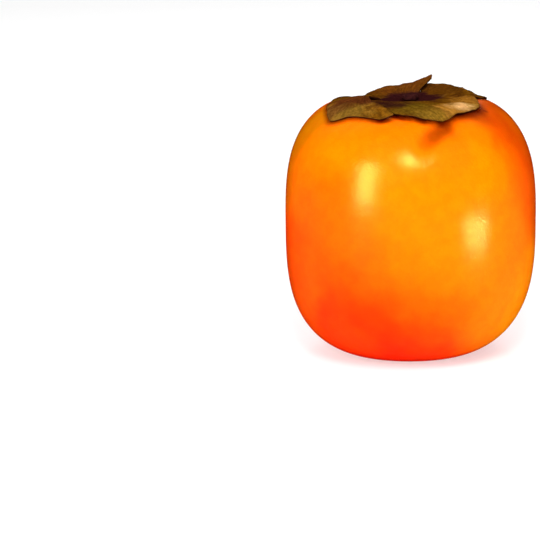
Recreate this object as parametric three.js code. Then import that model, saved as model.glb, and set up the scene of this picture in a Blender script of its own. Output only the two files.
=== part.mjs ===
// A persimmon of the squarish, crisp kind, standing on its flat base, in millimetres, +Z up.
// The fruit is one solid. On its crown lie a dry four-lobed calyx and the clipped stub of the stem.
// The origin is the middle of the spot that the fruit rests on.
import * as THREE from 'three';
import { mergeVertices } from 'three/addons/utils/BufferGeometryUtils.js';

// Driving dimensions.
const FRUIT_WIDTH = 76;          // across the flats at the widest level
const FRUIT_HEIGHT = 80.4;       // base to crown, before the basin is pressed in
const WIDEST_LEVEL = 40.7;       // height of the widest level above the base
const SHOULDER_POWER = 3.14;     // superellipse exponent of the profile above that level
const BASE_POWER = 3.07;         // and below it
const ROUNDER_SIDE = 0.2;        // how much smaller both exponents are on the +X side
const REST_RADIUS = 11;          // outer radius of the flat resting ring
const DIMPLE_RADIUS = 5.5;       // inner radius of that ring, where the base dimple starts
const DIMPLE_DEPTH = 1.4;
const STYLE_RADIUS = 1.2;        // dry tip of the style, standing in the dimple
const STYLE_HEIGHT = 1.0;
const CORNER_SWELL = 0.035;      // how far the four rounded corners of the plan stand out
const UNEVEN_SWELL = 0.004;      // and how far three faint bulges stand out between them
const SEAT_DEPTH = 2.7;          // wide shallow seat of the calyx, pressed into the crown
const SEAT_RADIUS = 20.5;
const HOLLOW_DEPTH = 1.0;        // and a small hollow in the middle of it, round the stem
const HOLLOW_RADIUS = 8;
const CROWN_LEAN = 0.012;        // the crown is a little higher on its +X side

const CALYX_THICKNESS = 0.7;
const CALYX_GAP = 0.3;           // clear of the skin, so that the two solids never touch
const CALYX_DISC = 9;            // radius out to which the four lobes are grown together
const CREST_RADIUS = 12;         // ring where the lobes roll over before they lie down
const CREST_SHIFT = 3;           // how much wider and narrower that ring is on its two sides
const CREST_WIDEST_AT = 190;     // azimuth of its widest side
const CREST_HEIGHT = 0.3;        // mean height of the roll, and how much it rises and falls
const CREST_HIGHEST_AT = 230;    // azimuth of its highest side
const CREST_WIDTH = 3;

const STEM_RADIUS = 2.4;
const STEM_LENGTH = 1.6;
const STEM_GAP = 0.3;
const BARK_RIDGES = 5;
const RIDGE_SHARE = 0.07;        // how far the ridges of the bark stand out, as a share of the radius
const CUT_SLANT = 0.12;          // slope of the clipped end

// Shallow furrows in the shoulder: [azimuth, radius] at both ends, depth, half width.
const FURROWS = [
  { from: [295, 28.5], to: [277, 31.5], depth: 1.7, width: 3 },
  { from: [38, 27], to: [28, 33], depth: 0.6, width: 4 },
  { from: [150, 14], to: [128, 30], depth: 1.4, width: 6 },
  { from: [205, 30], to: [198, 34], depth: 0.5, width: 4 },
];

// The four lobes, each grown from an arc of the disc. A point is [azimuth, radius, lift off the skin].
// Margins run outwards from the disc, and the free edge joins their ends round the lobe's tip.
const LOBES = [
  {
    arc: [208, 367],
    steps: 24,
    startMargin: [[209, 11.4, 0], [212, 14.2, 0], [230, 17, 0], [245, 20, 0]],
    edge: [[257, 23.5, 0.1], [262, 24.7, 0.5], [268, 25.5, 0.7], [276, 26.2, 0.7], [287, 26.8, 0.9],
      [297, 26, 0.8], [306, 25.6, 0.5], [318, 24.6, 0.3], [331, 23.4, 0.3], [341, 21.4, 0.6],
      [351, 19.7, 1.1], [362, 17.9, 2], [372, 16.2, 3]],
    endMargin: [[366, 11, 1.1], [368.5, 13, 1.9]],
  },
  {
    arc: [7, 72],
    steps: 11,
    startMargin: [[8.5, 11, 0], [7, 13.5, 0]],
    edge: [[5, 18, 0.2], [12, 21.4, 0.1], [19, 24, 0], [26, 25.8, 0], [35, 25.2, 0.1], [48, 23.8, 0.7],
      [58, 23, 1.1], [67, 21.8, 1.3], [75, 20.2, 1.1], [82, 18, 0.3]],
    endMargin: [[71.6, 11, 0], [76, 14, 0.1]],
  },
  {
    arc: [72, 162],
    steps: 14,
    startMargin: [[73.2, 11, 1.1], [70, 13.5, 2]],
    edge: [[69, 18.5, 3.2], [72, 20.9, 3.9], [79, 21, 2.7], [88, 21, 1.6], [103, 20.6, 0.8], [120, 20.4, 0.5],
      [136, 20, 0.3], [149, 19.4, 0], [158, 18.4, 0]],
    endMargin: [[160, 11.5, 0], [159.5, 14.5, 0]],
  },
  {
    arc: [162, 208],
    steps: 14,
    startMargin: [[164, 12, 0.3], [163, 17, 0.3]],
    edge: [[161.5, 22.5, 0.2], [170, 23.8, 0], [180, 24.5, 0], [190, 25.2, 0.1], [200, 26.2, 0.2],
      [209, 27.7, 0.1], [217, 29.4, 0], [223, 28.8, 0.1], [229, 27.3, 0.3], [236, 26.7, 0.2],
      [244, 26.5, 0.1], [252, 26.7, 0.4], [259.5, 25.7, 1.2]],
    endMargin: [[207.4, 11.2, 1], [210.5, 14, 1.25], [230, 17.4, 1.25], [246, 20.6, 1.2]],
  },
];

const HALF_WIDTH = FRUIT_WIDTH / 2;
const CROWN_RISE = FRUIT_HEIGHT - WIDEST_LEVEL;

function atAzimuth(degrees, radius) {
  const angle = THREE.MathUtils.degToRad(degrees);
  return new THREE.Vector2(radius * Math.cos(angle), radius * Math.sin(angle));
}

// How far the profile stands from its widest level at a radius, as a share of its whole height.
function dropShare(radius, power) {
  return (1 - (radius / HALF_WIDTH) ** power) ** (1 / power);
}

// The fruit swelled less evenly on its +X side, so its profile is rounder there.
function powerAt(azimuth, power) {
  return power - ROUNDER_SIDE * Math.max(0, Math.cos(azimuth)) ** 2;
}

// Plan scale of the fruit at an azimuth: flats on the axes, soft corners between them.
function planScale(azimuth) {
  const corners = (1 - Math.cos(4 * azimuth)) / 2;
  return 1 + CORNER_SWELL * corners + UNEVEN_SWELL * Math.sin(3 * azimuth + 0.6);
}

function furrowDepth(x, y) {
  let depth = 0;
  for (const furrow of FURROWS) {
    const start = atAzimuth(...furrow.from);
    const along = atAzimuth(...furrow.to).sub(start);
    const point = new THREE.Vector2(x, y).sub(start);
    const share = THREE.MathUtils.clamp(point.dot(along) / along.lengthSq(), 0, 1);
    const distance = point.sub(along.multiplyScalar(share)).length();
    depth += furrow.depth * Math.exp(-((distance / furrow.width) ** 2));
  }
  return depth;
}

// Height of the crown of the fruit over a point of the plan.
function crownHeight(x, y) {
  const azimuth = Math.atan2(y, x);
  const radius = Math.hypot(x, y) / planScale(azimuth);
  const rise = CROWN_RISE * dropShare(Math.min(radius, HALF_WIDTH), powerAt(azimuth, SHOULDER_POWER));
  const seat = SEAT_DEPTH * Math.exp(-((radius / SEAT_RADIUS) ** 4));
  const hollow = HOLLOW_DEPTH * Math.exp(-((radius / HOLLOW_RADIUS) ** 2));
  return WIDEST_LEVEL + rise - seat - hollow - furrowDepth(x, y) + CROWN_LEAN * x;
}

// Height of the base: flat ring, dimple inside it, and the dry style in the middle. The lower
// profile is sunk so far that what lies inside REST_RADIUS becomes the flat resting ring.
function baseHeight(radius, azimuth) {
  const power = powerAt(azimuth, BASE_POWER);
  const share = dropShare(Math.min(radius, HALF_WIDTH), power) / dropShare(REST_RADIUS, power);
  const curve = WIDEST_LEVEL * (1 - share);
  const dimple = radius < DIMPLE_RADIUS ? DIMPLE_DEPTH * Math.cos(Math.PI / 2 * radius / DIMPLE_RADIUS) ** 2 : 0;
  const style = STYLE_HEIGHT * Math.max(0, 1 - radius / STYLE_RADIUS);
  return Math.max(0, curve) + dimple - style;
}

// A profile point at an angle above (+) or below (-) the widest level.
function profileRadius(angle) {
  const power = angle > 0 ? SHOULDER_POWER : BASE_POWER;
  const reach = (Math.cos(angle) ** power + Math.abs(Math.sin(angle)) ** power) ** (-1 / power);
  return HALF_WIDTH * reach * Math.cos(angle);
}

function fruit() {
  // The profile is drawn as on the fuller -X side and turned. Each point then gets its own side's height.
  const fullest = Math.PI;
  const baseRadii = [0, STYLE_RADIUS / 2, STYLE_RADIUS, 2.2, 3.4, 4.5, DIMPLE_RADIUS, REST_RADIUS];
  const profile = baseRadii.map((radius) => new THREE.Vector2(radius, baseHeight(radius, fullest)));
  const firstAngle = THREE.MathUtils.degToRad(-70);
  const lastAngle = THREE.MathUtils.degToRad(86);
  const steps = 38;
  for (let i = 0; i <= steps; i += 1) {
    const angle = THREE.MathUtils.lerp(firstAngle, lastAngle, i / steps);
    const radius = profileRadius(angle);
    const rise = CROWN_RISE * dropShare(radius, SHOULDER_POWER);
    profile.push(new THREE.Vector2(radius, angle > 0 ? WIDEST_LEVEL + rise : baseHeight(radius, fullest)));
  }
  profile.push(new THREE.Vector2(0, FRUIT_HEIGHT));
  const geometry = closedLathe(profile, 64);
  const position = geometry.attributes.position;
  for (let i = 0; i < position.count; i += 1) {
    const [x, y, z] = [position.getX(i), position.getY(i), position.getZ(i)];
    const azimuth = Math.atan2(y, x);
    const scale = planScale(azimuth);
    const above = z > WIDEST_LEVEL;
    const height = above ? crownHeight(x * scale, y * scale) : baseHeight(Math.hypot(x, y), azimuth);
    position.setXYZ(i, x * scale, y * scale, height);
  }
  const skin = new THREE.MeshStandardMaterial({ color: 0xf98a0c, roughness: 0.38, metalness: 0 });
  return namedMesh('fruit', geometry, skin);
}

// A profile in X (radius) and Y (height), turned about the Z axis into one closed mesh.
function closedLathe(profile, segments) {
  const lathe = new THREE.LatheGeometry(profile, segments);
  lathe.rotateX(Math.PI / 2);
  lathe.deleteAttribute('normal');
  lathe.deleteAttribute('uv');
  const merged = mergeVertices(lathe, 1e-4);
  const corners = merged.index.array;
  const kept = [];
  for (let i = 0; i < corners.length; i += 3) {
    const [a, b, c] = corners.slice(i, i + 3);
    if (a !== b && b !== c && c !== a) kept.push(a, b, c);
  }
  merged.setIndex(kept);
  return merged;
}

// Middle surface of the calyx over a point of the plan, lifted off the skin along the skin's normal.
function calyxPoint(x, y, lift) {
  const step = 0.05;
  const slopeX = (crownHeight(x + step, y) - crownHeight(x - step, y)) / (2 * step);
  const slopeY = (crownHeight(x, y + step) - crownHeight(x, y - step)) / (2 * step);
  const normal = new THREE.Vector3(-slopeX, -slopeY, 1).normalize();
  const azimuth = Math.atan2(y, x);
  const crestRadius = CREST_RADIUS + CREST_SHIFT * Math.cos(azimuth - THREE.MathUtils.degToRad(CREST_WIDEST_AT));
  const crestHeight = CREST_HEIGHT * (1 + Math.cos(azimuth - THREE.MathUtils.degToRad(CREST_HIGHEST_AT)));
  const crest = crestHeight * Math.exp(-(((Math.hypot(x, y) - crestRadius) / CREST_WIDTH) ** 2));
  const offset = CALYX_GAP + CALYX_THICKNESS / 2 + crest + lift;
  return new THREE.Vector3(x, y, crownHeight(x, y)).addScaledVector(normal, offset);
}

function calyx() {
  const points = [calyxPoint(0, 0, 0)];
  const triangles = [];
  const add = (plan) => points.push(calyxPoint(plan.x, plan.y, plan.z ?? 0)) - 1;

  // The grown-together disc: rings of points whose azimuths follow the four lobes.
  const azimuths = LOBES.flatMap(({ arc, steps }) => (
    Array.from({ length: steps }, (_, i) => THREE.MathUtils.lerp(arc[0], arc[1], i / steps))));
  const ringCount = 4;
  let ring = azimuths.map(() => 0);
  for (let k = 1; k <= ringCount; k += 1) {
    const next = azimuths.map((azimuth) => add(atAzimuth(azimuth, CALYX_DISC * k / ringCount)));
    azimuths.forEach((_, i) => {
      const j = (i + 1) % azimuths.length;
      triangles.push([ring[i], next[i], next[j]]);
      if (k > 1) triangles.push([ring[i], next[j], ring[j]]);
    });
    ring = next;
  }

  // Each lobe: a sheet stretched between its arc of the disc, its two margins and its free edge.
  const rows = 8;
  let first = 0;
  for (const lobe of LOBES) {
    const sheet = lobeSheet(lobe);
    const columns = Array.from({ length: lobe.steps + 1 }, (_, i) => i / lobe.steps);
    let inner = columns.map((_, i) => ring[(first + i) % ring.length]);
    for (let k = 1; k <= rows; k += 1) {
      const outer = columns.map((across) => add(sheet(across, k / rows)));
      for (let i = 0; i < lobe.steps; i += 1) {
        triangles.push([inner[i], outer[i], outer[i + 1]], [inner[i], outer[i + 1], inner[i + 1]]);
      }
      inner = outer;
    }
    first += lobe.steps;
  }
  const dryLeaf = new THREE.MeshStandardMaterial({ color: 0x7a541f, roughness: 0.75, metalness: 0 });
  return namedMesh('calyx', thickened(points, triangles, CALYX_THICKNESS), dryLeaf);
}

// A lobe as a function of two shares, across and along, that gives plan position and lift (as z).
function lobeSheet({ arc, startMargin, edge, endMargin }) {
  const place = ([azimuth, radius, lift]) => new THREE.Vector3(...atAzimuth(azimuth, radius).toArray(), lift);
  const root = (across) => place([THREE.MathUtils.lerp(arc[0], arc[1], across), CALYX_DISC, 0]);
  const curve = (list) => new THREE.CatmullRomCurve3(list, false, 'centripetal');
  const rim = curve(edge.map(place));
  const sides = [
    curve([root(0), ...startMargin.map(place), place(edge[0])]),
    curve([root(1), ...endMargin.map(place), place(edge[edge.length - 1])]),
  ];
  return (across, along) => {
    const lengthways = root(across).lerp(rim.getPointAt(across), along);
    const crossways = sides[0].getPointAt(along).lerp(sides[1].getPointAt(along), across);
    const corners = root(0).lerp(root(1), across).lerp(rim.getPointAt(0).lerp(rim.getPointAt(1), across), along);
    return lengthways.add(crossways).sub(corners);
  };
}

// A thin solid: the sheet moved half its thickness to both sides, with a wall round its open edge.
function thickened(points, triangles, thickness) {
  const sheet = new THREE.BufferGeometry().setFromPoints(points);
  sheet.setIndex(triangles.flat());
  sheet.computeVertexNormals();
  const normals = sheet.attributes.normal;
  const shifted = (side) => points.map((point, i) => (
    point.clone().addScaledVector(new THREE.Vector3().fromBufferAttribute(normals, i), side * thickness / 2)));
  const under = points.length;
  const faces = triangles.flatMap(([a, b, c]) => [[a, b, c], [under + a, under + c, under + b]]);
  const edges = new Set(triangles.flatMap(([a, b, c]) => [`${a},${b}`, `${b},${c}`, `${c},${a}`]));
  for (const key of edges) {
    const [a, b] = key.split(',').map(Number);
    if (!edges.has(`${b},${a}`)) faces.push([a, under + a, under + b], [a, under + b, b]);
  }
  const solid = new THREE.BufferGeometry().setFromPoints([...shifted(1), ...shifted(-1)]);
  solid.setIndex(faces.flat());
  return solid;
}

function stem() {
  const profile = [[0, 0], [0.8, 0], [1.1, 0.14], [0.96, 0.5], [1.04, 0.86], [0.9, 1], [0.4, 0.95], [0, 0.92]]
    .map(([radius, height]) => new THREE.Vector2(radius * STEM_RADIUS, height * STEM_LENGTH));
  const geometry = closedLathe(profile, 20);
  const position = geometry.attributes.position;
  for (let i = 0; i < position.count; i += 1) {
    const [x, y, z] = [position.getX(i), position.getY(i), position.getZ(i)];
    const ridges = 1 + RIDGE_SHARE * Math.cos(BARK_RIDGES * Math.atan2(y, x)) * Math.min(1, z / STEM_RADIUS);
    const slantedCut = CUT_SLANT * x * z / STEM_LENGTH;
    position.setXYZ(i, x * ridges, y * ridges, z + slantedCut);
  }
  const bark = new THREE.MeshStandardMaterial({ color: 0x5b4326, roughness: 0.85, metalness: 0 });
  const mesh = namedMesh('stem', geometry, bark);
  mesh.position.z = calyxPoint(0, 0, 0).z + CALYX_THICKNESS / 2 + STEM_GAP;
  return mesh;
}

function namedMesh(name, geometry, material) {
  geometry.computeVertexNormals();
  const mesh = new THREE.Mesh(geometry, material);
  mesh.name = name;
  return mesh;
}

const persimmon = new THREE.Group();
persimmon.add(fruit(), calyx(), stem());

export default persimmon;
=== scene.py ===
import math
import bpy
import numpy as np
from mathutils import Matrix, Vector
from mathutils.kdtree import KDTree


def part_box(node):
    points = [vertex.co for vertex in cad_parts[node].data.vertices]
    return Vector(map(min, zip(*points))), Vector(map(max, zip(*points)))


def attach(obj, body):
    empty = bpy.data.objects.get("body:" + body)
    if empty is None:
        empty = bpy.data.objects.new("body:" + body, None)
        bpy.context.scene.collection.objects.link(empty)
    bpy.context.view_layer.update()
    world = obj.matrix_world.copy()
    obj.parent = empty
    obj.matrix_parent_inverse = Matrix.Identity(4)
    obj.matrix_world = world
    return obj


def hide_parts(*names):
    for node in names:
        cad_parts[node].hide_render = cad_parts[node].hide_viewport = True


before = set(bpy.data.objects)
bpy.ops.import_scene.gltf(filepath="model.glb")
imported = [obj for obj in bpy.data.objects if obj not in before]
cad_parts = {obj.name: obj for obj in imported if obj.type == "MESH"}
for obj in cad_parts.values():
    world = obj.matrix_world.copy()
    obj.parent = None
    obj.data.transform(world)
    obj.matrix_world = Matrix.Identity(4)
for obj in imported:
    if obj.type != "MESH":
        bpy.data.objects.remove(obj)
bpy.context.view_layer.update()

# ---------------------------------------------------------------------------------------------
# The fruit: one grown berry of firm flesh under a thin waxy skin, about 76 mm across.
# It swelled round the calyx, which left a squarish plan, a shallow seat in the crown and soft
# furrows in the shoulder. It ripened from the base up, so the base is the reddest part.
# ---------------------------------------------------------------------------------------------
# Lengths are in millimetres. Azimuths are in degrees, anticlockwise from +X: the front is at 270.
MM = 0.001
HALF_WIDTH = 38.0
FRUIT_HEIGHT = 80.4
WIDEST_LEVEL = 40.7
CROWN_RISE = FRUIT_HEIGHT - WIDEST_LEVEL
SHOULDER_POWER = 3.14
BASE_POWER = 3.07
ROUNDER_SIDE = 0.2
CORNER_SWELL = 0.035
BULGE_SWELL = 0.004
BULGES = 3.0
BULGE_TURN = 0.6
REST_RADIUS = 11.0
DIMPLE_RADIUS = 5.5
DIMPLE_DEPTH = 1.4
STYLE_RADIUS = 1.2
STYLE_HEIGHT = 1.0
SEAT_DEPTH = 2.7
SEAT_RADIUS = 20.5
HOLLOW_DEPTH = 1.0
HOLLOW_RADIUS = 8.0
CROWN_LEAN = 0.012

# The skin's plan is made a hair smaller than the solid's, so that it stays inside the solid's box.
INSIDE_THE_CAD = 0.9998

# Each furrow of the shoulder: azimuth and radius at both ends, then its depth and half width.
FURROWS = [
    ((295, 28.5), (278, 31.3), 1.7, 2.8),
    ((38, 27), (28, 33), 0.6, 4.0),
    ((150, 14), (128, 30), 1.4, 6.0),
    ((205, 30), (198, 34), 0.5, 4.0),
]


def at_azimuth(degrees, radius):
    """Plan position of a point, from its azimuth in degrees and its radius."""
    angle = np.radians(degrees)
    return np.array([radius * np.cos(angle), radius * np.sin(angle)])


def drop_share(radius, power):
    """How much of a superellipse's height is left at a radius."""
    inside = np.clip(1.0 - (np.minimum(radius, HALF_WIDTH) / HALF_WIDTH) ** power, 0.0, 1.0)
    return inside ** (1.0 / power)


def power_at(azimuth, power):
    """The exponent of the profile at an azimuth: the fruit is a little rounder on its +X side."""
    return power - ROUNDER_SIDE * np.maximum(0.0, np.cos(azimuth)) ** 2


def plan_scale(azimuth):
    """The squarish plan: flats on the axes, soft corners between them and three faint bulges."""
    corners = (1.0 - np.cos(4.0 * azimuth)) / 2.0
    return 1.0 + CORNER_SWELL * corners + BULGE_SWELL * np.sin(BULGES * azimuth + BULGE_TURN)


def furrow_depth(x, y):
    """How far the furrows press the shoulder in over a point of the plan."""
    depth = np.zeros_like(x)
    for start, end, deepest, half_width in FURROWS:
        head = at_azimuth(*start)
        run = at_azimuth(*end) - head
        share = np.clip(((x - head[0]) * run[0] + (y - head[1]) * run[1]) / (run @ run), 0.0, 1.0)
        distance = np.hypot(x - head[0] - share * run[0], y - head[1] - share * run[1])
        depth += deepest * np.exp(-((distance / half_width) ** 2))
    return depth


def crown_height(x, y):
    """Height of the crown of the fruit over a point of the plan."""
    azimuth = np.arctan2(y, x)
    radius = np.hypot(x, y) / plan_scale(azimuth)
    dome = WIDEST_LEVEL + CROWN_RISE * drop_share(radius, power_at(azimuth, SHOULDER_POWER))
    seat = SEAT_DEPTH * np.exp(-((radius / SEAT_RADIUS) ** 4))
    hollow = HOLLOW_DEPTH * np.exp(-((radius / HOLLOW_RADIUS) ** 2))
    return dome - seat - hollow - furrow_depth(x, y) + CROWN_LEAN * x


def base_height(radius, azimuth):
    """Height of the base: the flat ring, the dimple in it and the dry tip of the style."""
    power = power_at(azimuth, BASE_POWER)
    left = drop_share(radius, power) / drop_share(REST_RADIUS, power)
    curve = np.maximum(0.0, WIDEST_LEVEL * (1.0 - left))
    dimple = DIMPLE_DEPTH * np.cos(np.pi / 2 * np.minimum(1.0, radius / DIMPLE_RADIUS)) ** 2
    style = STYLE_HEIGHT * np.maximum(0.0, 1.0 - radius / STYLE_RADIUS)
    return curve + dimple - style


# The rings of the mesh. Those of the style and of the flat ring are radii, those of the flank are
# angles of its superellipse, from the flat ring up to the crown.
STYLE_RINGS = np.linspace(0.0, 2.4, 13)
RESTING_RINGS = np.linspace(2.8, REST_RADIUS, 16)
FLANK_RINGS = np.radians(np.linspace(-68.0, 87.0, 150))
CROWN_RINGS = 6
FRUIT_SEGMENTS = 320


def fruit_profile():
    """Radius and height of the profile, from the middle of the base up to the crown."""
    angles = FLANK_RINGS
    power = np.where(angles > 0, SHOULDER_POWER, BASE_POWER)
    reach = (np.cos(angles) ** power + np.abs(np.sin(angles)) ** power) ** (-1.0 / power)
    flank = HALF_WIDTH * reach * np.cos(angles)
    base = np.concatenate([STYLE_RINGS, RESTING_RINGS])
    crown = np.linspace(flank[-1], 0.0, CROWN_RINGS + 1)[1:]
    radius = np.concatenate([base, flank, crown])
    above = np.concatenate([np.zeros_like(base), angles > 0, np.ones_like(crown)]) > 0
    dome = WIDEST_LEVEL + CROWN_RISE * drop_share(radius, SHOULDER_POWER)
    return radius, np.where(above, dome, base_height(radius, np.pi))


def mesh_object(name, points, faces, smooth=True):
    """A mesh object in metres, from points in millimetres."""
    mesh = bpy.data.meshes.new(name)
    mesh.from_pydata([tuple(point) for point in np.asarray(points) * MM], [], faces)
    mesh.validate()
    mesh.update()
    mesh.polygons.foreach_set("use_smooth", [smooth] * len(mesh.polygons))
    made = bpy.data.objects.new(name, mesh)
    bpy.context.scene.collection.objects.link(made)
    return made


def turned(name, radius, height, segments, shape):
    """A closed body turned about Z from a profile that starts and ends on the axis.

    shape takes and gives arrays of x, y and z, and so moves the points."""
    azimuth = np.arange(segments) * 2.0 * np.pi / segments
    inner = slice(1, len(radius) - 1)
    x = np.outer(radius[inner], np.cos(azimuth)).ravel()
    y = np.outer(radius[inner], np.sin(azimuth)).ravel()
    z = np.repeat(height[inner], segments)
    x, y, z = (np.append(values, [0.0, 0.0]) for values in (x, y, z))
    z[-2:] = height[0], height[-1]
    points = np.stack(shape(x, y, z), axis=1)
    rings = len(radius) - 2
    low, high = rings * segments, rings * segments + 1
    following = [(i + 1) % segments for i in range(segments)]
    faces = [(low, following[i], i) for i in range(segments)]
    for ring in range(rings - 1):
        here = ring * segments
        above = here + segments
        faces += [(here + i, here + following[i], above + following[i], above + i)
                  for i in range(segments)]
    top = (rings - 1) * segments
    faces += [(top + i, top + following[i], high) for i in range(segments)]
    return mesh_object(name, points, faces)


def swell(x, y, z):
    """Gives a turned fruit its squarish plan, its rounder side, its seat and its furrows."""
    azimuth = np.arctan2(y, x)
    base = base_height(np.hypot(x, y), azimuth)
    scale = plan_scale(azimuth) * INSIDE_THE_CAD
    x, y = x * scale, y * scale
    return x, y, np.where(z > WIDEST_LEVEL, crown_height(x, y), base)


class Finish:
    """A node material. Each method adds nodes and gives the output of the last.

    Places are in metres, so a noise of scale 100 has about one cloud to the centimetre."""

    COLOUR_INPUTS = 6, 7
    COLOUR_OUTPUT = 2

    def __init__(self, name, **surface):
        self.material = bpy.data.materials.new(name)
        self.material.use_nodes = True
        self.tree = self.material.node_tree
        self.surface = self.tree.nodes["Principled BSDF"]
        for socket, value in surface.items():
            self.surface.inputs[socket.replace("_", " ")].default_value = value
        self.place = self.node("ShaderNodeTexCoord").outputs["Object"]

    def node(self, kind, inputs=None, **settings):
        """A node of this kind. An input is linked if it is a socket, and set if it is a value."""
        made = self.tree.nodes.new(kind)
        for name, value in settings.items():
            setattr(made, name, value)
        for socket, value in (inputs or {}).items():
            if isinstance(value, bpy.types.NodeSocket):
                self.tree.links.new(value, made.inputs[socket])
            else:
                made.inputs[socket].default_value = value
        return made

    def drive(self, socket, value):
        """Links a value to an input of the surface."""
        self.tree.links.new(value, self.surface.inputs[socket])

    def noise(self, scale, detail=3.0, roughness=0.5, vector=None):
        inputs = {"Vector": vector or self.place, "Scale": scale, "Detail": detail, "Roughness": roughness}
        return self.node("ShaderNodeTexNoise", inputs).outputs["Fac"]

    def calculate(self, operation, first, second):
        return self.node("ShaderNodeMath", {0: first, 1: second}, operation=operation).outputs[0]

    def band(self, value, low, high):
        """0 below low, 1 above high, and a soft step between them."""
        inputs = {"Value": value, "From Min": low, "From Max": high}
        return self.node("ShaderNodeMapRange", inputs, interpolation_type="SMOOTHSTEP").outputs["Result"]

    def wander(self, scale, distance):
        """The place of a point, moved by noise, so that tints get uneven outlines."""
        noise = self.node("ShaderNodeTexNoise", {"Vector": self.place, "Scale": scale, "Detail": 3.0})
        shift = self.node("ShaderNodeVectorMath", {0: noise.outputs["Color"], 1: (0.5, 0.5, 0.5)},
                          operation="SUBTRACT").outputs[0]
        moved = self.node("ShaderNodeVectorMath", {0: shift, 1: (distance * MM,) * 3, 2: self.place},
                          operation="MULTIPLY_ADD")
        return moved.outputs[0]

    def near(self, centre, reach, core, place):
        """1 within core millimetres of a centre, falling softly to 0 at reach millimetres."""
        inputs = {0: place, 1: [value * MM for value in centre]}
        distance = self.node("ShaderNodeVectorMath", inputs, operation="DISTANCE").outputs["Value"]
        return self.band(distance, reach * MM, core * MM)

    def ramp(self, value, stops):
        """Colours along a value: each stop is a share and an 8-bit sRGB colour."""
        made = self.node("ShaderNodeValToRGB", {"Fac": value})
        elements = made.color_ramp.elements
        while len(elements) < len(stops):
            elements.new(1.0)
        for element, (share, colour) in zip(elements, stops):
            element.position = share
            element.color = linear(*colour)
        return made.outputs["Color"]

    def mix(self, share, first, second, blend="MIX"):
        inputs = dict(zip(self.COLOUR_INPUTS, (first, second)), Factor=share)
        made = self.node("ShaderNodeMix", inputs, data_type="RGBA", blend_type=blend)
        return made.outputs[self.COLOUR_OUTPUT]

    def tinted(self, colour, tints, uneven, smallest=0.0):
        """A colour with tinted places. Those that reach past smallest get uneven outlines."""
        for centre, reach, core, tint, strength in tints:
            place = uneven if reach > smallest else self.place
            share = self.calculate("MULTIPLY", self.near(centre, reach, core, place), strength)
            colour = self.mix(share, colour, linear(*tint))
        return colour

    def patterned(self, colour, strength, pattern, low, high):
        """A colour with a pattern of two tones laid over it."""
        tones = self.mix(pattern, linear(*low), linear(*high))
        return self.mix(strength, colour, tones, "OVERLAY")

    def bump(self, height, depth_mm, strength=1.0):
        """Fine relief of the surface, from a height between 0 and 1 or so."""
        inputs = {"Height": height, "Distance": depth_mm * MM, "Strength": strength}
        self.drive("Normal", self.node("ShaderNodeBump", inputs).outputs["Normal"])


def linear(red, green, blue):
    """An 8-bit sRGB colour as linear light, with full alpha."""
    shares = [value / 255.0 for value in (red, green, blue)]
    return [s / 12.92 if s <= 0.04045 else ((s + 0.055) / 1.055) ** 2.4 for s in shares] + [1.0]


# Colours of the skin from ripe to less ripe, and how fast it gets less ripe per metre along x, y, z.
RIPENESS = [(0.0, (238, 32, 0)), (0.12, (240, 36, 0)), (0.2, (244, 47, 0)), (0.38, (244, 80, 0)),
            (0.55, (244, 103, 0)), (0.75, (244, 109, 0)), (1.0, (240, 102, 0))]
# Towards -X the skin is redder: partly ripeness, partly painted shade and red bounce on that side.
RIPENS_LATER = (6.5, -1.0, 12.5)
CLOUD_SHARE = 0.2
MOTTLE_SHARE = 0.16

# Each tinted place: its centre, how far it reaches, its full core, its colour and its strength.
SKIN_TINTS = [
    # front and left flank; the two on the left rim are painted shade, darker where the rim turns from the
    # light
    ((-24, -31, 48), 19, 6, (244, 80, 0), 0.7),
    ((-30, -8, 70), 17, 5, (182, 110, 0), 0.8),
    ((-36, -10, 55), 17, 5, (200, 102, 0), 0.7),
    # the right flank: painted light, lighter and more golden where more light falls on it
    ((29, -20, 15), 20, 6, (244, 114, 0), 0.65),
    ((34, -12, 30), 14, 5, (244, 136, 0), 0.75),
    ((24, -24, 9), 16, 1, (244, 112, 0), 0.6),
    ((31, -13, 14), 18, 2, (244, 148, 0), 0.85),
    ((21, -25, 62), 14, 4, (240, 122, 0), 0.6),
    # lower left
    ((-34, -18, 27), 21, 9, (226, 76, 0), 0.85),
    ((-32, -14, 12), 17, 4, (232, 74, 0), 0.7),
    ((-18, -27, 8), 12, 3, (238, 62, 0), 0.5),
    # beside the right tip of the calyx: painted shadow under the tip, and a brown scrap of dry leaf on the
    # skin
    ((20.5, -17, 75.5), 7, 2, (150, 50, 0), 0.65),
    ((22.3, -11.8, 76.1), 1.3, 0.4, (84, 44, 14), 0.8),
    # right shoulder: painted shade where it turns away from the lamps, and painted light at its rim
    ((31, -4, 69), 19, 6, (198, 62, 0), 0.75),
    ((38, -8, 53), 21, 6, (218, 70, 0), 0.7),
    ((27, -16, 71), 10, 3, (196, 64, 0), 0.6),
    ((31.5, -4, 70), 12, 1, (232, 106, 0), 0.7),
    # along the front furrow: painted shade in the dent
    ((11, -25, 74.2), 3.6, 0.5, (150, 54, 0), 0.7),
    ((9.5, -26.5, 73.4), 4.4, 0.8, (116, 34, 0), 0.75),
    ((7, -29, 71.8), 4.6, 0.8, (120, 38, 0), 0.75),
    ((5, -31, 70.3), 4.4, 0.5, (160, 60, 0), 0.6),
]
SMALL_TINT = 8.0
# Painted shade: the skin's colours close beside the lobes, and where lobe and skin meet.
SHADED_SKIN = (84, 12, 0)
DEEP_SHADED_SKIN = (40, 3, 0)
GLOSSIEST = 0.165
DULLEST = 0.225
RELIEF = 0.07


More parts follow.
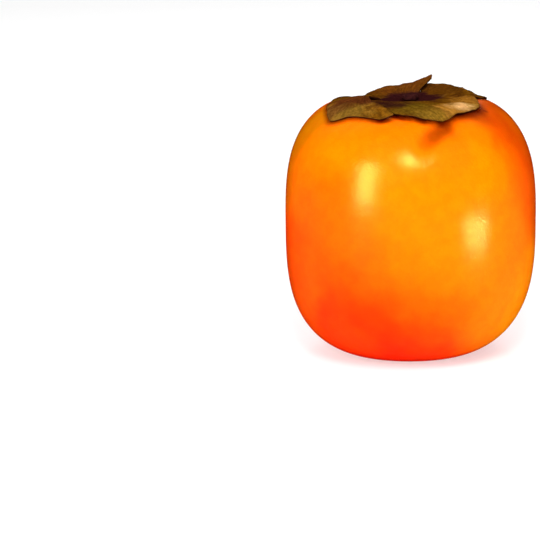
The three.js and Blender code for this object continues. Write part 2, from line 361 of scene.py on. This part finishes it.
def skin_finish():
    """The waxy skin: orange that is riper at the base, with tinted places, painted shade beside the lobes
    and fine relief.
    """
    finish = Finish("persimmon_skin", Specular_IOR_Level=0.4, Specular_Tint=(1.0, 0.8, 0.16, 1.0),
                    Subsurface_Weight=0.12, Subsurface_Scale=0.004,
                    Subsurface_Radius=(1.0, 0.35, 0.08))
    lateness = finish.node("ShaderNodeVectorMath", {0: finish.place, 1: RIPENS_LATER},
                           operation="DOT_PRODUCT").outputs["Value"]
    cloud = finish.calculate("MULTIPLY", finish.noise(28.0), CLOUD_SHARE)
    mottle = finish.calculate("MULTIPLY", finish.noise(110.0), MOTTLE_SHARE)
    mean = (CLOUD_SHARE + MOTTLE_SHARE) / 2
    drift = finish.calculate("SUBTRACT", finish.calculate("ADD", cloud, mottle), mean)
    colour = finish.ramp(finish.calculate("ADD", lateness, drift), RIPENESS)
    colour = finish.tinted(colour, SKIN_TINTS, finish.wander(50.0, 16.0), SMALL_TINT)
    # Painted shade beside the lobes, darkest where lobe and skin meet.
    shade = finish.node("ShaderNodeAttribute", attribute_name="shade").outputs["Fac"]
    colour = finish.mix(finish.band(shade, 0.0, 0.75), colour, linear(*SHADED_SKIN))
    colour = finish.mix(finish.band(shade, 0.78, 1.0), colour, linear(*DEEP_SHADED_SKIN))
    speckle = finish.calculate("MULTIPLY", finish.band(finish.noise(1100.0, 2.0), 0.45, 0.6), 0.06)
    colour = finish.mix(speckle, colour, linear(255, 140, 0), "OVERLAY")
    blush = finish.band(finish.noise(260.0, 4.0, 0.6), 0.35, 0.65)
    colour = finish.patterned(colour, 0.22, blush, (120, 90, 110), (140, 160, 140))
    finish.drive("Base Color", colour)
    bloom = finish.band(finish.noise(750.0, 3.0, 0.6), 0.36, 0.64)
    finish.drive("Roughness", finish.node("ShaderNodeMapRange", {
        "Value": bloom, "To Min": GLOSSIEST, "To Max": DULLEST}).outputs["Result"])
    dimples = finish.calculate("MULTIPLY", finish.noise(1500.0, 2.0), 0.74)
    swells = finish.calculate("MULTIPLY", finish.noise(160.0, 2.0), 0.7)
    finish.bump(finish.calculate("ADD", dimples, swells), RELIEF)
    return finish.material


radius, height = fruit_profile()
fruit = turned("fruit_skin", radius, height, FRUIT_SEGMENTS, swell)
fruit.data.materials.append(skin_finish())
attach(fruit, "root")
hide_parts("fruit")

# ---------------------------------------------------------------------------------------------
# The calyx: the dry leafy crown of four broad lobes that grew as one piece with the fruit.
# The lobes overlap like the vanes of a pinwheel. They dried brown, with olive patches, fine
# radiating veins and thin margins that wave and curl off the skin.
# ---------------------------------------------------------------------------------------------
CALYX_THICKNESS = 0.7
EDGE_THICKNESS = 0.4
CALYX_DISC = 9.0

# Clear of the skin: within the lobes, and along their edges at the front and at the back. The edge's
# gap starts at a share of the way out, and the back begins between two places along y.
CALYX_GAP = 0.3
FRONT_EDGE_GAP = 0.1
BACK_EDGE_GAP = 0.5
EDGE_FROM = 0.6
BACK_FROM = (11.5, 16.0)

# The crest round the hollow of the calyx. It is widest at one azimuth and highest at another.
CREST_RADIUS = 12.0
CREST_SHIFT = 3.0
CREST_WIDEST_AT = 190
CREST_HEIGHT = 0.3
CREST_HIGHEST_AT = 230
CREST_WIDTH = 3.0

# A point is azimuth, radius and lift off the skin. Margins run outwards from the disc, and the
# free edge joins their ends round the tip of the lobe.
LOBES = [
    {
        "arc": (208, 367),
        "start": [(209, 11.4, 0), (212, 14.2, 0), (230, 17, 0), (245, 20, 0)],
        "edge": [(257, 23.5, 0.1), (262, 24.7, 0.7), (268, 25.5, 1.0), (276, 26.3, 0.9), (287, 27.0, 1.1),
                 (297, 26.2, 1.1), (306, 25.6, 0.7), (318, 24.6, 0.3), (331, 23.4, 0.3), (341, 21.4, 0.6),
                 (351, 19.7, 1.1), (362, 17.9, 2), (372, 16.2, 3)],
        "end": [(366, 11, 1.1), (368.5, 13, 1.9)],
    },
    {
        "arc": (7, 72),
        "start": [(8.5, 11, 0), (7, 13.5, 0)],
        "edge": [(5, 18, 0.2), (12, 21.4, 0.1), (19, 24, 0), (26, 25.8, 0), (35, 25.2, 0.1), (48, 23.8, 0.7),
                 (58, 23, 1.1), (67, 21.8, 1.3), (75, 20.2, 1.1), (82, 18, 0.3)],
        "end": [(71.6, 11, 0), (76, 14, 0.1)],
    },
    {
        "arc": (72, 162),
        "start": [(73.2, 11, 1.1), (70, 13.5, 2)],
        "edge": [(69, 18.5, 3.2), (72, 20.9, 3.9), (79, 21, 2.7), (88, 21, 1.6), (103, 20.6, 0.8),
                 (120, 20.4, 0.5), (136, 20, 0.3), (149, 19.4, 0), (158, 18.4, 0)],
        "end": [(160, 11.5, 0), (159.5, 14.5, 0)],
    },
    {
        "arc": (162, 208),
        "start": [(164, 12, 0.3), (163, 17, 0.3)],
        "edge": [(161.5, 22.5, 0.2), (170, 23.8, 0), (180, 24.5, 0), (190, 25.2, 0.1), (200, 26.2, 0.2),
                 (209, 27.7, 0.1), (217, 29.4, 0), (223, 28.8, 0.1), (229, 27.3, 0.3), (236, 26.7, 0.2),
                 (244, 26.5, 0.1), (252, 26.7, 0.4), (259.5, 25.7, 1.2)],
        "end": [(207.4, 11.2, 1), (210.5, 14, 1.25), (230, 17.4, 1.25), (246, 20.6, 1.2)],
    },
]
DISC_RINGS = 24
LOBE_ROWS = 56
DEGREES_PER_COLUMN = 0.75
CURVE_STEPS = 24

# Veins, ragged and rippled margins and the crumple of the dry leaf. A pitch is in radians per degree.
VEIN_PITCH = 0.11 * np.pi
VEIN_DRIFT_PITCH = 0.1
VEIN_HEIGHT = 0.09
VEIN_SHARPNESS = 8
RAGGED_DEPTH = 0.25
RAGGED_PITCH = 0.25
RIPPLE_HEIGHT = 0.16
RIPPLE_PITCH = 0.2
MARGIN_SEED = 7
CRUMPLE_HEIGHT = 0.35
CRUMPLE_LENGTH = 7.0
FINE_CRUMPLE_SHARE = 0.3
FINE_CRUMPLE_LENGTH = 2.2
CRUMPLE_SEED = 11

# One turn in radians, near enough for a seeded wave.
TURN = 6.28


def smooth_curve(points, shares):
    """Points at even shares of the length of a centripetal Catmull-Rom curve."""
    points = np.array(points, dtype=float)
    ends = [2 * points[0] - points[1]], [2 * points[-1] - points[-2]]
    knots = np.concatenate([ends[0], points, ends[1]])
    pieces = []
    for a, b, c, d in zip(knots, knots[1:], knots[2:], knots[3:]):
        steps = [np.linalg.norm(q - p) ** 0.5 for p, q in ((a, b), (b, c), (c, d))]
        times = np.cumsum([0.0] + steps)
        t = np.linspace(times[1], times[2], CURVE_STEPS, endpoint=False)[:, None]
        first = ((times[1] - t) * a + t * b) / times[1]
        second = ((times[2] - t) * b + (t - times[1]) * c) / (times[2] - times[1])
        third = ((times[3] - t) * c + (t - times[2]) * d) / (times[3] - times[2])
        lower = ((times[2] - t) * first + t * second) / times[2]
        upper = ((times[3] - t) * second + (t - times[1]) * third) / (times[3] - times[1])
        pieces.append(((times[2] - t) * lower + (t - times[1]) * upper) / (times[2] - times[1]))
    line = np.concatenate(pieces + [points[-1:]])
    length = np.concatenate([[0.0], np.cumsum(np.linalg.norm(np.diff(line, axis=0), axis=1))])
    wanted = np.asarray(shares) * length[-1]
    return np.stack([np.interp(wanted, length, values) for values in line.T], axis=-1)


def placed(points):
    """Azimuth, radius and lift turned into x, y and lift."""
    return [np.append(at_azimuth(azimuth, radius), lift) for azimuth, radius, lift in points]


def lobe_sheet(lobe, across, along):
    """x, y and lift over a lobe, stretched between its root, its two margins and its edge."""
    azimuths = np.interp(across, [0.0, 1.0], lobe["arc"])
    root = np.array(placed([(azimuth, CALYX_DISC, 0.0) for azimuth in azimuths]))
    edge = placed(lobe["edge"])
    rim = smooth_curve(edge, across)
    start = smooth_curve([root[0]] + placed(lobe["start"]) + [edge[0]], along)
    end = smooth_curve([root[-1]] + placed(lobe["end"]) + [edge[-1]], along)
    u, v = across[None, :, None], along[:, None, None]
    lengthways = root[None] * (1 - v) + rim[None] * v
    crossways = start[:, None] * (1 - u) + end[:, None] * u
    corners = (root[0] * (1 - u) + root[-1] * u) * (1 - v) + (rim[0] * (1 - u) + rim[-1] * u) * v
    return lengthways + crossways - corners


def calyx_points(x, y, lift, gap, thickness):
    """Middle surface of the calyx, lifted off the skin along the skin's normal."""
    step = 0.05
    slope_x = (crown_height(x + step, y) - crown_height(x - step, y)) / (2 * step)
    slope_y = (crown_height(x, y + step) - crown_height(x, y - step)) / (2 * step)
    normal = np.stack([-slope_x, -slope_y, np.ones_like(x)], axis=-1)
    normal /= np.linalg.norm(normal, axis=-1, keepdims=True)
    azimuth = np.arctan2(y, x)
    crest_radius = CREST_RADIUS + CREST_SHIFT * np.cos(azimuth - math.radians(CREST_WIDEST_AT))
    crest_height = CREST_HEIGHT + CREST_HEIGHT * np.cos(azimuth - math.radians(CREST_HIGHEST_AT))
    crest = crest_height * np.exp(-(((np.hypot(x, y) - crest_radius) / CREST_WIDTH) ** 2))
    offset = gap + thickness / 2 + crest + lift
    return np.stack([x, y, crown_height(x, y)], axis=-1) + normal * offset[..., None]


def waves(random, position, slowest, count, rise=1.7, fall=0.75):
    """A seeded irregular line between -1 and 1: waves of rising pitch and falling height."""
    total = np.zeros_like(position)
    for k in range(count):
        pitch = slowest * (rise ** k) * random.uniform(0.85, 1.15)
        total += fall ** k * np.sin(position * pitch + random.uniform(0.0, TURN))
    return total / sum(fall ** k for k in range(count))


def crumple(random, x, y, wave_length, count=9):
    """Seeded soft bumps between -0.5 and 0.5 over the plan, about one wave length across."""
    total = np.zeros_like(x)
    for _ in range(count):
        heading = random.uniform(0.0, TURN)
        pitch = TURN / (wave_length * random.uniform(0.75, 1.5))
        along = x * math.cos(heading) + y * math.sin(heading)
        total += np.sin(pitch * along + random.uniform(0.0, TURN))
    return 0.5 * np.tanh(total / math.sqrt(count / 2))


def calyx_mesh():
    """The grown-together disc and the four lobes as one thin sheet.

    Gives x, y and lift of each point, its growth tag (azimuth / 90 and share of the way out, which is
    -1 to 0 on the disc and 0 to 1 on a lobe) and the faces."""
    random = np.random.default_rng(MARGIN_SEED)
    columns = [round((lobe["arc"][1] - lobe["arc"][0]) / DEGREES_PER_COLUMN) for lobe in LOBES]
    azimuths = np.concatenate([np.linspace(*lobe["arc"], count, endpoint=False)
                               for lobe, count in zip(LOBES, columns)])
    count = len(azimuths)
    plan = [np.zeros((1, 3))]
    growth = [np.array([[0.0, -1.0, 0.0]])]
    faces = []
    ring = None
    total = 1
    for k in range(1, DISC_RINGS + 1):
        share = k / DISC_RINGS
        ring_points = [(azimuth, CALYX_DISC * share, 0.0) for azimuth in azimuths]
        plan.append(np.array(placed(ring_points)))
        growth.append(np.stack([azimuths / 90.0, np.full(count, share - 1.0), np.zeros(count)], axis=1))
        outer = total + np.arange(count)
        if ring is None:
            faces += [(0, a, b) for a, b in zip(outer, np.roll(outer, -1))]
        else:
            faces += list(zip(ring, outer, np.roll(outer, -1), np.roll(ring, -1)))
        ring = outer
        total += count
    first = 0
    for lobe, wide in zip(LOBES, columns):
        across = np.linspace(0.0, 1.0, wide + 1)
        along = np.linspace(0.0, 1.0, LOBE_ROWS + 1)
        sheet = lobe_sheet(lobe, across, along)
        azimuth = np.interp(across, [0.0, 1.0], lobe["arc"])
        middle = np.sin(np.pi * across) ** 0.5
        ragged = RAGGED_DEPTH * (0.5 + 0.5 * waves(random, azimuth, RAGGED_PITCH, 7))
        ripple = RIPPLE_HEIGHT * waves(random, azimuth, RIPPLE_PITCH, 4) * middle
        vein_drift = waves(random, azimuth, VEIN_DRIFT_PITCH, 3)
        veins = np.maximum(0.0, np.cos(VEIN_PITCH * azimuth + vein_drift)) ** VEIN_SHARPNESS
        inner = ring[(first + np.arange(wide + 1)) % count]
        for row in range(1, LOBE_ROWS + 1):
            points = sheet[row].copy()
            out = along[row]
            reach = np.linalg.norm(points[:, :2], axis=1)
            points[:, :2] *= (1.0 - ragged * out ** 4 / reach)[:, None]
            points[:, 2] += ripple * out ** 3 + VEIN_HEIGHT * veins * np.sin(np.pi * out) ** 0.5
            plan.append(points)
            growth.append(np.stack([azimuth / 90.0, np.full(wide + 1, out), np.zeros(wide + 1)], axis=1))
            outer = total + np.arange(wide + 1)
            faces += list(zip(inner[:-1], outer[:-1], outer[1:], inner[1:]))
            inner = outer
            total += wide + 1
        first += wide
    return np.concatenate(plan), np.concatenate(growth), [tuple(int(i) for i in face) for face in faces]


def thickened(points, faces, thickness):
    """Both sides of a thin sheet, and the wall round its open edge."""
    normals = np.zeros_like(points)
    for face in faces:
        a, b, c = points[list(face[:3])]
        normals[list(face)] += np.cross(b - a, c - a)
    normals /= np.linalg.norm(normals, axis=1, keepdims=True)
    shift = normals * (thickness / 2)[:, None]
    under = len(points)
    edges = set()
    solid = []
    for face in faces:
        solid.append(face)
        solid.append(tuple(under + i for i in reversed(face)))
        edges.update(zip(face, face[1:] + face[:1]))
    solid += [(b, a, under + a, under + b) for a, b in edges if (b, a) not in edges]
    return np.concatenate([points + shift, points - shift]), solid


# Colours of the dry leaf from its dark blotches to its pale ones.
DRY_LEAF = [(0.0, (76, 42, 6)), (0.45, (98, 60, 8)), (0.75, (114, 72, 14)), (1.0, (140, 96, 34))]
LEAF_TINTS = [
    # front lobe: olive at the middle, tan towards its right tip
    ((0, -19, 79), 11, 3, (88, 66, 12), 0.9),
    ((7, -26, 77), 8, 2, (120, 90, 26), 0.8),
    ((15, -19, 78.5), 9, 3, (172, 118, 44), 0.85),
    ((17, -7, 79.5), 7, 3, (146, 96, 32), 0.8),
    # left lobe: olive at its edge, red-brown towards the hollow
    ((-18, -19, 77), 9, 3, (118, 88, 30), 0.75),
    ((-23, -12, 77), 8, 3, (102, 64, 26), 0.8),
    ((-18, -6, 79), 9, 3, (86, 42, 16), 0.95),
    ((-12.5, -11, 79.5), 7, 2.5, (72, 32, 14), 0.9),
    # painted shade in the fold where the left lobe meets the front one
    ((-6, -15, 79), 7.5, 3, (42, 15, 14), 0.9),
    ((-8, -13.5, 79), 4.5, 1, (42, 14, 15), 0.85),
    ((-6.5, -21, 79), 3.5, 0.5, (78, 44, 8), 0.8),
    # the palest place of the front lobe: pale dry leaf with a painted highlight on it
    ((15.8, -15.5, 79), 6, 0.5, (214, 172, 112), 0.9),
    ((19.5, -13, 79), 4, 1, (160, 116, 46), 0.8),
    # back and right lobes, with painted shadow where the front lobe's raised margin shades the right lobe
    ((0, 17, 79), 15, 6, (100, 52, 14), 0.85),
    ((12, 10, 79), 12, 5, (82, 46, 8), 0.9),
    ((14, -2, 79.5), 4, 1, (66, 34, 8), 0.8),
    ((12.6, 1.2, 80.2), 4.5, 1.5, (58, 30, 6), 0.85),
    ((5, 4, 79.5), 7, 2, (76, 40, 8), 0.7),
    # the hollow: a dark purple brown of the dry leaf, deepened with painted shade
    ((0, -1, 78), 18, 10, (92, 54, 6), 0.5),
    ((-1, -1, 78), 13, 8.5, (48, 17, 18), 1.0),
]
# Painted shade along the rim of each lobe; the underside is a darker brown, partly its own colour and partly
# painted shade.
LEAF_RIM_SHADE = (70, 32, 6)
LEAF_UNDERSIDE = (38, 16, 6)
FIBRES_ROUND = 26.0
FIBRES_ALONG = 1.5
LEAF_RELIEF = 0.15


def calyx_finish():
    """The dry leaf: blotches and tints, fibres along each lobe, a rim darkened as painted shade and a dark
    underside that is partly painted shade.
    """
    finish = Finish("dry_calyx", Roughness=0.75, Specular_IOR_Level=0.0)
    growth = finish.node("ShaderNodeAttribute", attribute_name="growth").outputs["Vector"]
    azimuth, along, side = finish.node("ShaderNodeSeparateXYZ", {0: growth}).outputs
    stretched = finish.node("ShaderNodeCombineXYZ", {
        "X": finish.calculate("MULTIPLY", azimuth, FIBRES_ROUND),
        "Y": finish.calculate("MULTIPLY", along, FIBRES_ALONG)})
    fibre = finish.noise(1.6, 5.0, 0.65, stretched.outputs[0])
    blotch = finish.noise(160.0, 4.0, 0.6)
    colour = finish.ramp(finish.band(blotch, 0.3, 0.7), DRY_LEAF)
    colour = finish.tinted(colour, LEAF_TINTS, finish.wander(260.0, 9.0))
    streaks = finish.band(fibre, 0.36, 0.62)
    colour = finish.patterned(colour, 0.38, streaks, (70, 60, 50), (200, 196, 186))
    grain = finish.band(finish.noise(1300.0), 0.35, 0.65)
    colour = finish.patterned(colour, 0.35, grain, (70, 64, 60), (190, 188, 180))
    # Painted shade along each lobe's rim and, in part, on the underside.
    rim = finish.calculate("MULTIPLY", finish.band(along, 0.975, 1.0), 0.5)
    colour = finish.mix(rim, colour, linear(*LEAF_RIM_SHADE))
    colour = finish.mix(finish.band(side, 0.9, 0.5), colour, linear(*LEAF_UNDERSIDE))
    finish.drive("Base Color", colour)
    pores = finish.calculate("MULTIPLY", finish.noise(900.0), 0.6)
    finish.bump(finish.calculate("ADD", fibre, pores), LEAF_RELIEF, 0.8)
    return finish.material


plan, growth, sheet_faces = calyx_mesh()
outward = np.clip(growth[:, 1], 0.0, 1.0)
thickness = np.interp(outward, [0.0, 1.0], [CALYX_THICKNESS, EDGE_THICKNESS])
random = np.random.default_rng(CRUMPLE_SEED)
broad = crumple(random, plan[:, 0], plan[:, 1], CRUMPLE_LENGTH)
fine = crumple(random, plan[:, 0], plan[:, 1], FINE_CRUMPLE_LENGTH)
plan[:, 2] += CRUMPLE_HEIGHT * outward ** 0.7 * broad
plan[:, 2] += FINE_CRUMPLE_SHARE * CRUMPLE_HEIGHT * outward ** 0.5 * fine
edge_gap = np.interp(plan[:, 1], BACK_FROM, [FRONT_EDGE_GAP, BACK_EDGE_GAP])
edge_share = np.clip((outward - EDGE_FROM) / (1.0 - EDGE_FROM), 0.0, 1.0)
gap = CALYX_GAP + (edge_gap - CALYX_GAP) * edge_share
middle = calyx_points(plan[:, 0], plan[:, 1], plan[:, 2], gap, thickness)
leaf_points, leaf_faces = thickened(middle, sheet_faces, thickness)
calyx = mesh_object("calyx_leaf", leaf_points, leaf_faces)
tag = calyx.data.attributes.new("growth", "FLOAT_VECTOR", "POINT")
upper_side = growth + (0, 0, 1)
tag.data.foreach_set("vector", np.concatenate([upper_side, growth]).ravel())
calyx.data.materials.append(calyx_finish())
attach(calyx, "root")
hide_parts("calyx")

# Painted shade: the skin is darker close beside the lobes, where they would shade it. Each stop is an
# azimuth, how far the dark reaches in millimetres and how deep it is where lobe and skin meet.
SHADES = [(0, 2.2, 0.5), (240, 2.0, 0.5), (262, 1.6, 1.0), (284, 1.7, 0.9), (290, 1.8, 1.0),
          (298, 2.3, 0.86), (305, 3.4, 0.7), (312, 4.0, 0.66), (324, 4.3, 0.66), (338, 3.0, 0.55),
          (360, 2.2, 0.5)]
LOWEST_SHADE = 60.0
TOUCH = 0.6


def shade_on_the_skin():
    """Tags each point of the skin with its painted shade, by its distance from the middle of the leaf."""
    leaf = KDTree(len(middle))
    for number, point in enumerate(middle):
        leaf.insert(point, number)
    leaf.balance()
    skin = np.empty(len(fruit.data.vertices) * 3)
    fruit.data.vertices.foreach_get("co", skin)
    shade = np.zeros(len(skin) // 3)
    stops, reaches, strengths = zip(*SHADES)
    for number, (x, y, z) in enumerate(skin.reshape(-1, 3) / MM):
        if z < LOWEST_SHADE:
            continue
        azimuth = math.degrees(math.atan2(y, x)) % 360.0
        reach = np.interp(azimuth, stops, reaches)
        strength = np.interp(azimuth, stops, strengths)
        distance = leaf.find((x, y, z))[2] - TOUCH
        shade[number] = strength * max(0.0, 1.0 - max(0.0, distance) / reach)
    tag = fruit.data.attributes.new("shade", "FLOAT", "POINT")
    tag.data.foreach_set("value", shade)


shade_on_the_skin()

# ---------------------------------------------------------------------------------------------
# The stem: the short woody stub that is left where the fruit was clipped from its twig.
# It is dark ridged bark round a pale dry core, and it is grown fast to the middle of the calyx.
# ---------------------------------------------------------------------------------------------
STEM_RADIUS = 2.4
STEM_LENGTH = 1.6
BARK_RIDGES = 5.0
RIDGE_SHARE = 0.07
CUT_SLANT = 0.12
STEM_SEGMENTS = 40
BARK_RELIEF = 0.2
DARK_BARK = (28, 9, 10)
PALE_BARK = (56, 24, 22)

# The stub from its foot to its dry core: shares of its radius and of its length.
STEM_PROFILE = [(0, 0), (0.8, 0), (1.1, 0.14), (0.96, 0.5), (1.04, 0.86), (0.9, 1), (0.4, 0.95), (0, 0.92)]


def bark(x, y, z):
    """Gives the turned stub its ridges and its slanting cut, and stands it on its foot."""
    rise = np.minimum(1.0, z / STEM_RADIUS)
    ridges = 1.0 + RIDGE_SHARE * np.cos(BARK_RIDGES * np.arctan2(y, x)) * rise
    return x * ridges, y * ridges, stem_foot + z + CUT_SLANT * x * z / STEM_LENGTH


def stem_finish():
    """Dull dark bark with a paler grain."""
    finish = Finish("stem_bark", Roughness=0.85, Specular_IOR_Level=0.0)
    grain = finish.noise(900.0, 4.0, 0.6)
    finish.drive("Base Color", finish.ramp(grain, [(0.3, DARK_BARK), (0.7, PALE_BARK)]))
    finish.bump(grain, BARK_RELIEF, 0.8)
    return finish.material


stem_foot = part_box("stem")[0][2] / MM
stem_radius, stem_height = np.array(STEM_PROFILE).T
stem = turned("stem_stub", stem_radius * STEM_RADIUS, stem_height * STEM_LENGTH, STEM_SEGMENTS, bark)
stem.data.materials.append(stem_finish())
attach(stem, "root")
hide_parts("stem")

# ---------------------------------------------------------------------------------------------
# The table and the light: a plain pale floor in a white studio, under two broad soft lamps. Four
# small windows leave the soft marks on the skin. A long lens looks from a little above the fruit.
# ---------------------------------------------------------------------------------------------
FLOOR_HALF_WIDTH = 3000.0
FLOOR_GLOW = 0.5

# The camera: the frame in pixels, lens and sensor in millimetres, distances in metres.
FRAME_PIXELS = 540
LENS = 175.0
SENSOR = 36.0
NEAREST = 0.01
DISTANCE = 0.8
ELEVATION = 12.0

# A point on the fruit's axis, in metres, and the pixel of the frame where the camera puts it.
AIM_HEIGHT = 0.04067
AIM_PIXEL = (410.0, 220.4)

# The light of the room rises from the floor up: direction along Z, and strength.
DIM_BELOW, DIM = -0.1, 0.03
BRIGHT_ABOVE, BRIGHT = 0.4, 0.12


def pale_floor():
    """The floor gives off half of its light itself, so that the fruit's shadow stays faint."""
    far = FLOOR_HALF_WIDTH
    corners = [(-far, -far, 0), (far, -far, 0), (far, far, 0), (-far, far, 0)]
    floor = mesh_object("floor", corners, [(0, 1, 2, 3)], smooth=False)
    finish = Finish("pale_floor", Base_Color=(0.5, 0.5, 0.5, 1.0), Roughness=0.7, Specular_IOR_Level=0.2,
                    Emission_Color=(1.0, 1.0, 1.0, 1.0), Emission_Strength=FLOOR_GLOW)
    floor.data.materials.append(finish.material)
    floor.visible_glossy = False


def window(name, azimuth, elevation, distance, width, height, power, mirrored=True):
    """A rectangular lamp that faces the fruit. Its azimuth is 0 behind the camera and grows to the right.

    Angles are in degrees, sizes in metres and power in watts. Only a mirrored lamp marks the skin."""
    light = bpy.data.lights.new(name, "AREA")
    light.shape = "RECTANGLE"
    light.size = width
    light.size_y = height
    light.energy = power
    lamp = bpy.data.objects.new(name, light)
    side, lift = math.radians(azimuth), math.radians(elevation)
    away = Vector((math.sin(side) * math.cos(lift), -math.cos(side) * math.cos(lift), math.sin(lift)))
    lamp.location = Vector((0, 0, AIM_HEIGHT)) + away * distance
    lamp.rotation_euler = away.to_track_quat("Z", "Y").to_euler()
    lamp.visible_glossy = mirrored
    lamp.visible_camera = False
    bpy.context.scene.collection.objects.link(lamp)


def aimed_camera():
    """A long lens on the fruit, turned until the aim point falls on its place in the frame."""
    data = bpy.data.cameras.new("camera")
    data.lens = LENS
    data.sensor_width = SENSOR
    data.clip_start = NEAREST
    camera = bpy.data.objects.new("camera", data)
    lift = math.radians(ELEVATION)
    away = Vector((0.0, -math.cos(lift), math.sin(lift)))
    place = Vector((0.0, 0.0, AIM_HEIGHT)) + away * DISTANCE
    focal = LENS / SENSOR * FRAME_PIXELS
    pan = math.atan((AIM_PIXEL[0] - FRAME_PIXELS / 2) / focal)
    tilt = math.atan((FRAME_PIXELS / 2 - AIM_PIXEL[1]) / focal)
    facing = away.to_track_quat("Z", "Y").to_matrix().to_4x4()
    turn = Matrix.Rotation(pan, 4, "Y") @ Matrix.Rotation(-tilt, 4, "X")
    camera.matrix_world = Matrix.Translation(place) @ facing @ turn
    bpy.context.scene.collection.objects.link(camera)
    bpy.context.scene.camera = camera


def studio_world():
    """Soft light from the whole upper half of the room; the lower half is dim."""
    world = bpy.data.worlds.new("studio")
    world.use_nodes = True
    nodes, links = world.node_tree.nodes, world.node_tree.links
    direction = nodes.new("ShaderNodeTexCoord")
    split = nodes.new("ShaderNodeSeparateXYZ")
    rise = nodes.new("ShaderNodeMapRange")
    limits = {"From Min": DIM_BELOW, "From Max": BRIGHT_ABOVE, "To Min": DIM, "To Max": BRIGHT}
    for socket, value in limits.items():
        rise.inputs[socket].default_value = value
    links.new(direction.outputs["Generated"], split.inputs["Vector"])
    links.new(split.outputs["Z"], rise.inputs["Value"])
    links.new(rise.outputs["Result"], nodes["Background"].inputs["Strength"])
    nodes["Background"].inputs["Color"].default_value = (1.0, 1.0, 1.0, 1.0)
    world.cycles_visibility.glossy = False
    bpy.context.scene.world = world


pale_floor()

# Where each lamp stands (azimuth, elevation, distance), then its width, height and power.
window("window_left", -33.5, 14, 0.7, 0.18, 0.4, 4.9)
window("window_right", 48.6, -6.4, 0.137, 0.048, 0.002, 0.0495)
window("front_top", 2, 38, 0.8, 0.13, 0.2, 3.0)
window("key", 14, 44, 2.0, 3.4, 2.4, 58.0, mirrored=False)
window("back", 190, 50, 2.0, 3.0, 2.0, 20.0, mirrored=False)
window("back_window", 179, 32, 0.8, 0.16, 0.3, 1.2)

aimed_camera()
studio_world()
bpy.context.scene.view_settings.view_transform = "Standard"
